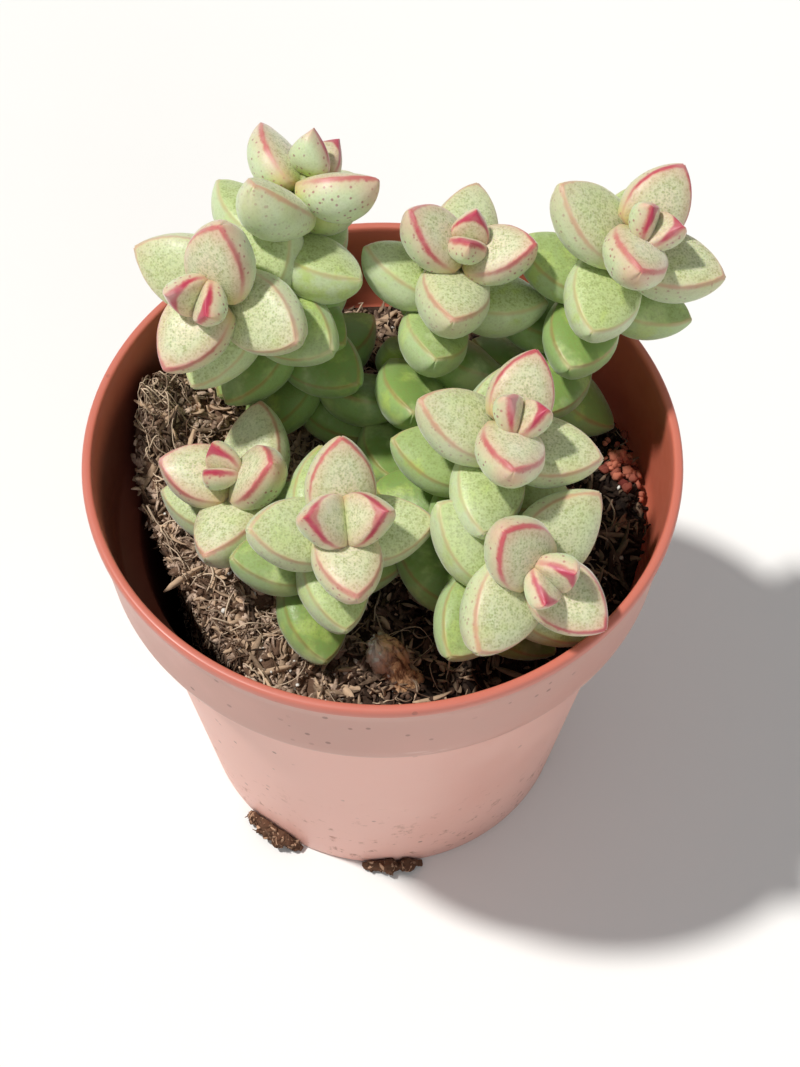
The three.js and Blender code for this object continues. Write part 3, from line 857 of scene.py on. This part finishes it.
def makeSoilMaterial(paint):
    material, tree, shader, place = newMaterial("pottingMix", 0.95, 0.15)
    tone = {name: srgb(*value) for name, value in paint.items() if isinstance(value, tuple)}
    x = parted(tree, place)[0]
    coarse = noiseAt(tree, place, 170, 5, 0.65)
    fine = noiseAt(tree, place, 1100, 5, 0.7)
    bit = attribute(tree, "bitTone")
    # the mix turns dark towards +x: partly damp earth, partly painted shade on the right side
    dampShade = spread(tree, x, paint["dampShadeFrom"], paint["dampShadeTo"])
    dry = plus(tree, spread(tree, x, 0.012, -0.022), minus(tree, coarse, 0.5))
    shade = plus(tree, times(tree, fine, 0.6), times(tree, bit, 0.5))
    dark = blendColour(tree, spread(tree, shade, 0.3, 0.75), tone["darkLow"], tone["darkHigh"])
    light = blendColour(tree, spread(tree, shade, 0.32, 0.8), tone["lightLow"], tone["lightHigh"])
    body = blendColour(tree, spread(tree, dry, 0.1, 0.8), dark, light)
    body = blendColour(tree, times(tree, dampShade, 0.85), body, tone["darkLow"])
    tree.links.new(body, shader.inputs["Base Color"])
    addBump(tree, shader, plus(tree, fine, times(tree, coarse, 0.5)), 0.9, 0.0005)
    return material


def makeGrainMaterial(name, low, high, roughness=0.9, dampShadeShare=0.0):
    # one colour family for grains or fibres, varied from bit to bit
    material, tree, shader, place = newMaterial(name, roughness, 0.2)
    fine = noiseAt(tree, place, 1500, 4, 0.6)
    share = plus(tree, times(tree, attribute(tree, "bitTone"), 0.75), times(tree, fine, 0.35))
    body = blendColour(tree, spread(tree, share, 0.15, 0.85), srgb(*low), srgb(*high))
    if dampShadeShare:
        x = parted(tree, place)[0]
        # the same darkening towards +x: damp earth and painted shade
        dampShade = times(tree, spread(tree, x, earthPaint["dampShadeFrom"], earthPaint["dampShadeTo"]), dampShadeShare)
        body = blendColour(tree, dampShade, body, srgb(*earthPaint["darkLow"]))
    tree.links.new(body, shader.inputs["Base Color"])
    addBump(tree, shader, fine, 0.5, 0.0002)
    return material


def relief(place, amount, scale):
    return amount * noise.fractal(place * scale, 0.9, 2.1, 5)


def clods(place, size):
    near = noise.voronoi(place / size)[0]
    return min(1.0, 1.6 * (near[1] - near[0]))


def makeSoil(shape, material):
    sides = shape["sides"]
    low, edge = potShape["floor"] + 1.3, shape["edge"]
    angles = [2 * math.pi * i / sides for i in range(sides)]
    rows = []

    def addPoint(place, gap, share):
        # gap is how far the pot's wall is, because bits need room beside them, and long strips need more
        x, y = place.x, place.y
        strewn = share * soften((gap - shape["bitRoom"]) / 0.6)
        roomy = share * soften(gap - shape["stripRoom"])
        red = share * mound(x, y, shape["redPlace"], shape["redReach"])
        perlite = share * (mound(x, y, shape["perlitePlace"], shape["perliteReach"]) + shape["perliteShare"])
        rows.append((place * mm, strewn, roomy, red, perlite))

    for ring in range(shape["sideRings"]):
        level = low + (edge - low) * (ring / (shape["sideRings"] - 1)) ** 0.8
        for angle in angles:
            drawn = shrink(angle, level)
            radius = innerWall(level) - 0.5 - drawn
            where = roundPoint(radius, angle, level * 0.35)
            depth = min(1.0, drawn / 2)
            radius += depth * (relief(where, 0.8, 0.3) + 0.5 * clods(where, 2.4) - 0.7) - 0.12
            shown = depth * soften((level - 34) / 16)
            addPoint(roundPoint(radius, angle, level), drawn, 0.8 * shown)
    for ring in range(shape["topRings"]):
        share = 1 - (ring + 0.35) / (shape["topRings"] + 0.35)
        for angle in angles:
            radius = share * edgeRadius(angle)
            where = roundPoint(radius, angle, 3)
            level = soilTop(where.x, where.y) + relief(where, 1.1, 0.22) + 0.9 * clods(where, 2.8) - 0.6
            level -= soften((share - 0.93) / 0.07) * (1.2 + 1.2 * noise.noise(where * 0.4))
            level -= shape["holeDepth"] * mound(where.x, where.y, shape["holePlace"], shape["holeReach"])
            if radius > shape["stepRadius"]:
                level = max(level, shape["step"])
            addPoint(roundPoint(radius, angle, level), innerWall(edge) + shape["brimReach"] - radius, 1.0)
    faces = ringFaces(shape["sideRings"] + shape["topRings"], sides)
    closeEnds(faces, len(rows), sides, len(rows), len(rows) + 1)
    addPoint(Vector((0, 0, low)), 0, 0)
    addPoint(Vector((0, 0, soilTop(0, 0) + 0.2)), innerWall(edge), 1)
    columns = list(zip(*rows))
    soil = newPiece("soilPlug", columns[0], faces, material=material)
    for name, values in zip(("strewn", "roomy", "redShare", "perliteShare"), columns[1:]):
        setAttribute(soil.data, name, values)
    return soil


soilMaterial = makeSoilMaterial(earthPaint)
soil = makeSoil(soilShape, soilMaterial)
print("soil made:", len(soil.data.polygons), "faces")


# bits that lie on the soil

def makeFlake(name, width, thick, curl, twist):
    # a curled strip of length 1 along X, six-sided in plan
    points = []
    steps = 6
    for i in range(steps):
        share = i / (steps - 1) - 0.5
        half = width * (1 - (2 * share) ** 2) ** 0.5 * 0.5 + width * 0.12
        lift = curl * (share * share - 0.1)
        turn = twist * share
        for side, level in ((-1, 0), (1, 0), (1, thick), (-1, thick)):
            y = side * half * math.cos(turn) - level * math.sin(turn)
            z = side * half * math.sin(turn) + level * math.cos(turn)
            points.append((share, y, z + lift))
    last = (steps - 1) * 4
    faces = [(3, 2, 1, 0), (last, last + 1, last + 2, last + 3)]
    faces += ringFaces(steps, 4)
    return newPiece(name, points, faces)


def makeCrumb(name, seed, flat):
    # a lumpy grain about 1 across
    rows, sides = 4, 7
    points = [(0, 0, -0.5 * flat)]
    for row in range(rows):
        polar = math.pi * (row + 1) / (rows + 1)
        for i in range(sides):
            turn = 2 * math.pi * (i + 0.5 * (row % 2)) / sides
            place = roundPoint(math.sin(polar), turn, -math.cos(polar))
            size = 0.5 * (1 + 0.5 * noise.noise(place * 1.7 + Vector((seed * 3.1, 0, seed))))
            points.append((place.x * size, place.y * size, place.z * size * flat))
    points.append((0, 0, 0.5 * flat))
    faces = ringFaces(rows, sides, 1)
    last = 1 + (rows - 1) * sides
    for i in range(sides):
        faces.append((0, 1 + (i + 1) % sides, 1 + i))
        faces.append((len(points) - 1, last + i, last + (i + 1) % sides))
    return newPiece(name, points, faces)


def gather(name, forms):
    group = bpy.data.collections.new(name)
    bpy.context.scene.collection.children.link(group)
    for form in forms:
        for owner in list(form.users_collection):
            owner.objects.unlink(form)
        group.objects.link(form)
    return group


def makeScatterTree():
    inputs = {
        "Forms": "Collection", "Where": "String", "Per square metre": "Float",
        "Smallest": "Float", "Largest": "Float", "Lean": "Float", "Lift": "Float",
        "Seed": "Int", "Finish": "Material",
    }
    tree, start, end, sockets = newTree("scatter", inputs)
    density = times(tree, named(tree, start["Where"]), start["Per square metre"])
    wires = {0: start["Geometry"], "Density": density, "Seed": start["Seed"]}
    spots = addNode(tree, "GeometryNodeDistributePointsOnFaces", wires, distribute_method="RANDOM").outputs
    forms = addNode(tree, "GeometryNodeCollectionInfo", {0: start["Forms"], 1: True, 2: True}).outputs[0]

    def anyNumber(low, high, offset, kind="FLOAT"):
        seed = plus(tree, start["Seed"], offset)
        made = addNode(tree, "FunctionNodeRandomValue", {"Seed": seed}, data_type=kind)
        lowSlot, highSlot, result = {"FLOAT": (2, 3, 1), "FLOAT_VECTOR": (0, 1, 0)}[kind]
        for slot, value in ((lowSlot, low), (highSlot, high)):
            if isinstance(value, bpy.types.NodeSocket):
                tree.links.new(value, made.inputs[slot])
            else:
                made.inputs[slot].default_value = value
        return made.outputs[result]

    lean = start["Lean"]
    back = times(tree, lean, -1.0)
    low = addNode(tree, "ShaderNodeCombineXYZ", {0: back, 1: back, 2: -math.pi}).outputs[0]
    high = addNode(tree, "ShaderNodeCombineXYZ", {0: lean, 1: lean, 2: math.pi}).outputs[0]
    angles = anyNumber(low, high, 3, "FLOAT_VECTOR")
    turn = addNode(tree, "FunctionNodeEulerToRotation", {0: angles}).outputs[0]
    wires = {0: spots["Rotation"], 1: turn}
    turned = addNode(tree, "FunctionNodeRotateRotation", wires, rotation_space="LOCAL").outputs[0]
    wires = {
        "Points": spots["Points"], "Instance": forms, "Pick Instance": True, "Rotation": turned,
        "Scale": anyNumber(start["Smallest"], start["Largest"], 5),
    }
    bits = addNode(tree, "GeometryNodeInstanceOnPoints", wires).outputs[0]
    raised = addNode(tree, "ShaderNodeCombineXYZ", {2: start["Lift"]}).outputs[0]
    wires = {"Instances": bits, "Translation": raised, "Local Space": False}
    bits = addNode(tree, "GeometryNodeTranslateInstances", wires).outputs[0]
    wires = {"Geometry": bits, "Name": "bitTone", "Value": anyNumber(0.0, 1.0, 7)}
    store = addNode(tree, "GeometryNodeStoreNamedAttribute", wires, data_type="FLOAT", domain="INSTANCE")
    bits = store.outputs[0]
    bits = addNode(tree, "GeometryNodeRealizeInstances", {0: bits}).outputs[0]
    bits = addNode(tree, "GeometryNodeSetMaterial", {0: bits, "Material": start["Finish"]}).outputs[0]
    tree.links.new(bits, end[0])
    return tree, sockets


def strew(name, ground, tree, sockets, slotName, values):
    piece = bpy.data.objects.new(name, ground.data.copy())
    bpy.context.scene.collection.objects.link(piece)
    piece.data.materials.clear()
    runTree(piece, tree, sockets, values)
    keepAs(piece, slotName)
    print(name, "strewn:", len(piece.data.polygons), "faces")


flakes = gather("flakeForms", [
    makeFlake("flakeFlat", 0.34, 0.07, 0.25, 0.5),
    makeFlake("flakeCurled", 0.26, 0.06, 0.9, -0.8),
    makeFlake("flakeNarrow", 0.16, 0.07, -0.5, 1.2),
])
strips = gather("stripForms", [
    makeFlake("stripFlat", 0.12, 0.03, 0.2, 0.9),
    makeFlake("stripBent", 0.09, 0.03, 0.5, -1.4),
])
crumbs = gather("crumbForms", [
    makeCrumb("crumbRound", 1, 0.9),
    makeCrumb("crumbLong", 2, 0.6),
    makeCrumb("crumbFlat", 5, 0.45),
])
scatterTree, scatterSockets = makeScatterTree()
coirMaterial = makeGrainMaterial("coirFlakes", (58, 43, 34), (210, 180, 150), dampShadeShare=0.7)
perliteMaterial = makeGrainMaterial("perlite", (196, 188, 176), (238, 234, 226))
redMaterial = makeGrainMaterial("dryFlowerBits", (104, 44, 38), (196, 120, 96))

litter = [  # name, forms, where, how many per square metre, smallest, largest, lean, lift, seed, finish
    ("soilFlakes", flakes, "strewn", 620000.0, 0.0012, 0.0034, 0.7, 0.0001, 11, soilMaterial),
    ("coirFlakes", flakes, "strewn", 300000.0, 0.0010, 0.0030, 0.9, 0.0003, 23, coirMaterial),
    ("barkStrips", strips, "roomy", 90000.0, 0.0035, 0.0075, 0.35, 0.0005, 31, coirMaterial),
    ("soilCrumbs", crumbs, "strewn", 300000.0, 0.0004, 0.0014, 0.9, 0.0, 37, soilMaterial),
    ("perliteGrains", crumbs, "perliteShare", 260000.0, 0.0004, 0.0009, 0.9, 0.0003, 41, perliteMaterial),
    ("dryRedBits", crumbs, "redShare", 2600000.0, 0.0008, 0.0018, 0.9, 0.001, 53, redMaterial),
]
for name, forms, where, count, smallest, largest, lean, lift, seed, finish in litter:
    values = {
        "Forms": forms, "Where": where, "Per square metre": count, "Smallest": smallest, "Largest": largest,
        "Lean": lean, "Lift": lift, "Seed": seed, "Finish": finish,
    }
    strew(name, soil, scatterTree, scatterSockets, "potting_soil", values)
keepAs(soil, "potting_soil", "soil")


# roots and fibres

strandShape = {
    "sideRoots": 150, "topFibres": 300, "tuftFibres": 70, "sides": 5, "steps": 12, "seed": 7,
    "sideFrom": 170, "sideTo": 254,  # degrees round the pot where the plug is drawn in
}


def makeStrandTree():
    tree, start, end, sockets = newTree("strands", {"Sides": "Int", "Finish": "Material"})
    tubes = tubeAlong(tree, start["Geometry"], start["Sides"], "strandRadius")
    tubes = addNode(tree, "GeometryNodeSetShadeSmooth", {0: tubes}).outputs[0]
    tubes = addNode(tree, "GeometryNodeSetMaterial", {0: tubes, "Material": start["Finish"]}).outputs[0]
    tree.links.new(tubes, end[0])
    return tree, sockets


def makeStrands(shape, material):
    chance = random.Random(shape["seed"])
    points, edges, radii, tones = [], [], [], []

    def addStrand(line, radius):
        tone = chance.random()
        for i, place in enumerate(line):
            if i:
                edges.append((len(points) - 1, len(points)))
            points.append(Vector(place) * mm)
            radii.append(radius * mm * (1 - 0.6 * abs(2 * i / (len(line) - 1) - 1) ** 2))
            tones.append(tone)

    for i in range(shape["sideRoots"]):
        # a root that wanders down the drawn-in side of the plug
        angle = math.radians(chance.uniform(shape["sideFrom"], shape["sideTo"]))
        level = chance.uniform(40, 58)
        line = []
        for step in range(chance.randint(8, 20)):
            radius = innerWall(level) - 0.55 - shrink(angle % (2 * math.pi), level)
            line.append(roundPoint(radius + chance.uniform(-0.1, 0.25), angle, level))
            level -= chance.uniform(0.5, 1.4)
            angle += chance.gauss(0, 0.014)
        addStrand(line, chance.uniform(0.08, 0.2))

    def layFibre(x, y, length, rise, radius):
        heading = chance.uniform(0, 2 * math.pi)
        bend = chance.gauss(0, 0.22)
        lift = chance.uniform(0.1, rise)
        line = []
        steps = shape["steps"]
        for step in range(steps):
            # a fibre that comes to the edge of the soil turns there
            away, reach = math.hypot(x, y), edgeRadius(math.atan2(y, x)) - 0.3
            if away > reach:
                heading += math.pi / 2
                x, y = x * reach / away, y * reach / away
            arch = lift * math.sin(math.pi * min(1, 1.15 * step / (steps - 1)))
            line.append((x, y, soilTop(x, y) + 0.25 + arch + chance.gauss(0, 0.05)))
            x += length / steps * math.cos(heading)
            y += length / steps * math.sin(heading)
            heading += bend + chance.gauss(0, 0.16)
        addStrand(line, radius)

    for i in range(shape["topFibres"]):
        # one in three lies on the dry left side
        angle = chance.uniform(0, 2 * math.pi) if i % 3 else math.radians(chance.gauss(195, 35))
        away = 34 * math.sqrt(chance.random()) if i % 3 else chance.uniform(20, 35)
        away = min(away, edgeRadius(angle) - 0.5)
        x, y = away * math.cos(angle), away * math.sin(angle)
        layFibre(x, y, chance.uniform(3, 11), 1.6, chance.uniform(0.06, 0.16))
    for i in range(shape["tuftFibres"]):
        x = soilShape["tuftPlace"][0] + chance.gauss(0, 2.2)
        y = soilShape["tuftPlace"][1] + chance.gauss(0, 3.2)
        layFibre(x, y, chance.uniform(3, 8), 3.2, chance.uniform(0.07, 0.14))
    piece = newPiece("rootsAndFibres", points, [], edges)
    setAttribute(piece.data, "strandRadius", radii)
    setAttribute(piece.data, "bitTone", tones)
    tree, sockets = makeStrandTree()
    return runTree(piece, tree, sockets, {"Sides": shape["sides"], "Finish": material})


fibreMaterial = makeGrainMaterial("dryFibres", (92, 67, 50), (222, 199, 172), 0.8, dampShadeShare=0.55)
strands = makeStrands(strandShape, fibreMaterial)
keepAs(strands, "potting_soil")
print("roots and fibres laid:", len(strands.data.polygons), "faces")


# old stump

stumpShape = {
    "foot": (4.5, -29.5, 56.0), "top": (-0.5, -26, 66.5), "radius": 3.0, "taper": 0.3,
    "furrows": 0.17, "flare": 0.25, "crown": 0.14, "sides": 56, "rings": 44,
}


def makeStumpMaterial():
    material, tree, shader, place = newMaterial("oldBark", 0.85, 0.25)
    wires = {"Vector": place, "Rotation": (0.0, -0.5, 0.0), "Scale": (900, 900, 160)}
    grain = addNode(tree, "ShaderNodeMapping", wires).outputs[0]
    ridges = noiseAt(tree, grain, 1.0, 5, 0.65, 0.4)
    cloud = noiseAt(tree, place, 330, 4, 0.6)
    x = parted(tree, place)[0]
    body = blendColour(tree, spread(tree, ridges, 0.36, 0.62), srgb(100, 64, 42), srgb(216, 170, 126))
    body = blendColour(tree, times(tree, spread(tree, cloud, 0.5, 0.66), 0.6), body, srgb(238, 218, 194))
    pale = times(tree, spread(tree, x, 0.0026, -0.0016), spread(tree, cloud, 0.36, 0.54))
    body = blendColour(tree, times(tree, pale, 0.8), body, srgb(224, 214, 202))
    tree.links.new(body, shader.inputs["Base Color"])
    addBump(tree, shader, ridges, 0.9, 0.0005)
    return material


def makeStump(shape, material):
    foot, top = Vector(shape["foot"]), Vector(shape["top"])
    along = (top - foot).normalized()
    side = (Vector((1, 0, 0)) - along * along.x).normalized()
    cross = along.cross(side)
    rings, sides = shape["rings"], shape["sides"]
    points, pale = [], []
    for ring in range(rings):
        share = ring / (rings - 1)
        flare = shape["flare"] * soften((0.55 - share) / 0.35)
        closing = soften((share - 1 + shape["crown"]) / shape["crown"])
        crown = 0.25 + 0.75 * math.sqrt(max(0.0, 1 - closing ** 2))
        for i in range(sides):
            turn = 2 * math.pi * i / sides
            where = roundPoint(1.6, turn, 2.2 * share)
            furrow = shape["furrows"] * noise.fractal(where * Vector((1, 1, 0.5)).length, 0.8, 2.1, 5)
            radius = shape["radius"] * (1 - shape["taper"] * share + furrow + flare) * crown
            height = share * (top - foot).length + 0.7 * noise.noise(where * 2.3) * soften(share * 1.4)
            outward = side * math.cos(turn) + cross * math.sin(turn)
            points.append(foot + along * height + outward * radius)
            pale.append(soften(-math.cos(turn) * 0.7 + 0.3) * soften((share - 0.3) / 0.3))
    faces = ringFaces(rings, sides)
    closeEnds(faces, len(points), sides, len(points), len(points) + 1)
    points += [foot, top + along * 0.2]
    pale += [0, 0]
    stump = newPiece("stumpBark", [point * mm for point in points], faces, material=material)
    setAttribute(stump.data, "pale", pale)
    return stump


stump = makeStump(stumpShape, makeStumpMaterial())
values = {
    "Forms": crumbs, "Where": "pale", "Per square metre": 900000.0, "Smallest": 0.0004, "Largest": 0.001,
    "Lean": 0.9, "Lift": 0.0, "Seed": 71, "Finish": perliteMaterial,
}
strew("stumpGrains", stump, scatterTree, scatterSockets, "old_wood", values)
keepAs(stump, "old_wood", "old_stump")


# crust of earth and roots on the pot's foot

crusts = [  # node, from and to in degrees round the pot, height and thickness in mm
    ("root_crust_left", 224, 245, 5.0, 3.0),
    ("root_crust_front", 264, 283, 3.2, 2.2),
]
crustShape = {
    "sections": 60, "around": 26, "clearance": 0.3,
    "backShare": 0.3, "foot": 0.15,  # share of each section against the wall, and its lowest level
    "bareBelow": 1.2,                # mm above the ground, no flakes under it
}


def makeCrust(shape, node, start, end, tall, thick, material):
    # each section goes up against the pot's wall and comes down again in a bow
    sections, around = shape["sections"], shape["around"]
    back, foot, clearance = shape["backShare"], shape["foot"], shape["clearance"]
    points = []
    for i in range(sections):
        share = (i + 0.5) / sections
        angle = math.radians(start + (end - start) * share)
        knob = 0.75 + 0.45 * noise.noise(Vector((share * 6, start, 0)))
        bulge = math.sin(math.pi * share) ** 0.5 * knob
        height, depth = 0.4 + tall * bulge, 0.25 + thick * bulge
        for j in range(around):
            turn = j / around
            if turn < back:
                level = foot + (height - foot) * turn / back
                radius = outerWall(level) + clearance
            else:
                bow = (turn - back) / (1 - back) * math.pi / 2
                level = foot + (height - foot) * math.cos(bow) ** 0.8
                radius = outerWall(level * 0.4) + clearance + depth * math.sin(bow) ** 0.7
                radius -= depth * max(0, turn - 0.9) / 0.1
            lump = 0.55 * noise.fractal(roundPoint(radius, angle, level) * 0.9, 0.8, 2.1, 5)
            if turn > back - 0.02:
                radius += lump
            radius = max(outerWall(level) + clearance, radius)
            points.append(roundPoint(radius, angle, max(0.1, level + 0.3 * lump)) * mm)
    faces = [tuple(reversed(face)) for face in ringFaces(sections, around)]
    faces.append(tuple(range(around)))
    faces.append(tuple(reversed(range(len(points) - around, len(points)))))
    piece = newPiece(node + "_fine", points, faces, material=material)
    strewn = [soften((point[2] / mm - shape["bareBelow"]) / 0.6) for point in points]
    setAttribute(piece.data, "strewn", strewn)
    return piece


crustMaterial = makeGrainMaterial("crustEarth", (92, 64, 48), (190, 154, 126))
for node, start, end, tall, thick in crusts:
    crust = makeCrust(crustShape, node, start, end, tall, thick, crustMaterial)
    values = {
        "Forms": flakes, "Where": "strewn", "Per square metre": 1500000.0, "Smallest": 0.0006,
        "Largest": 0.0018, "Lean": 0.5, "Lift": 0.0, "Seed": start, "Finish": crustMaterial,
    }
    strew(node + "_flakes", crust, scatterTree, scatterSockets, "root_crust", values)
    keepAs(crust, "root_crust", node)
for group in (flakes, strips, crumbs):
    for form in list(group.objects):
        bpy.data.objects.remove(form)
    bpy.data.collections.remove(group)
print("stump and crusts made")


# floor and light

studio = {
    "floorTint": (236, 236, 234), "floorHalf": 3.0, "sky": 0.3, "aim": (0, 0, 0.06),
    "keyPlace": (-0.52, 0.04, 1.08), "keyTint": (1.0, 0.975, 0.94),
    "keySpread": 4.3, "keyPower": 3.15,  # degrees across, watts per square metre
    "fillPlace": (0.35, -0.9, 0.6), "fillTint": (0.95, 0.98, 1.0), "fillSize": 0.7, "fillPower": 1.8,
}


def addLamp(setup, name, kind):
    data = bpy.data.lights.new(name + "Lamp", kind)
    data.energy = setup[name + "Power"]
    data.color = setup[name + "Tint"]
    lamp = bpy.data.objects.new(name + "Lamp", data)
    lamp.location = setup[name + "Place"]
    toward = Vector(setup["aim"]) - Vector(setup[name + "Place"])
    lamp.rotation_euler = toward.to_track_quat("-Z", "Y").to_euler()
    bpy.context.scene.collection.objects.link(lamp)
    return data


def addStudio(setup):
    material, tree, shader, place = newMaterial("paleFloor", 0.8, 0.2)
    grain = noiseAt(tree, place, 40, 3)
    tint = srgb(*setup["floorTint"])
    colour = blendColour(tree, spread(tree, grain, 0.3, 0.7, 0.0, 0.03), tint, srgb(220, 220, 218))
    tree.links.new(colour, shader.inputs["Base Color"])
    half = setup["floorHalf"]
    corners = [(-half, -half, 0), (half, -half, 0), (half, half, 0), (-half, half, 0)]
    floor = newPiece("floor", corners, [(0, 1, 2, 3)], material=material)
    key = addLamp(setup, "key", "SUN")
    key.angle = math.radians(setup["keySpread"])
    fill = addLamp(setup, "fill", "AREA")
    fill.shape = "DISK"
    fill.size = setup["fillSize"]
    world = bpy.data.worlds.new("studio")
    world.use_nodes = True
    sky = world.node_tree.nodes["Background"]
    sky.inputs["Color"].default_value = (0.96, 0.98, 1.0, 1)
    sky.inputs["Strength"].default_value = setup["sky"]
    bpy.context.scene.world = world
    bpy.context.scene.view_settings.view_transform = "Standard"


addStudio(studio)
print("studio lit")
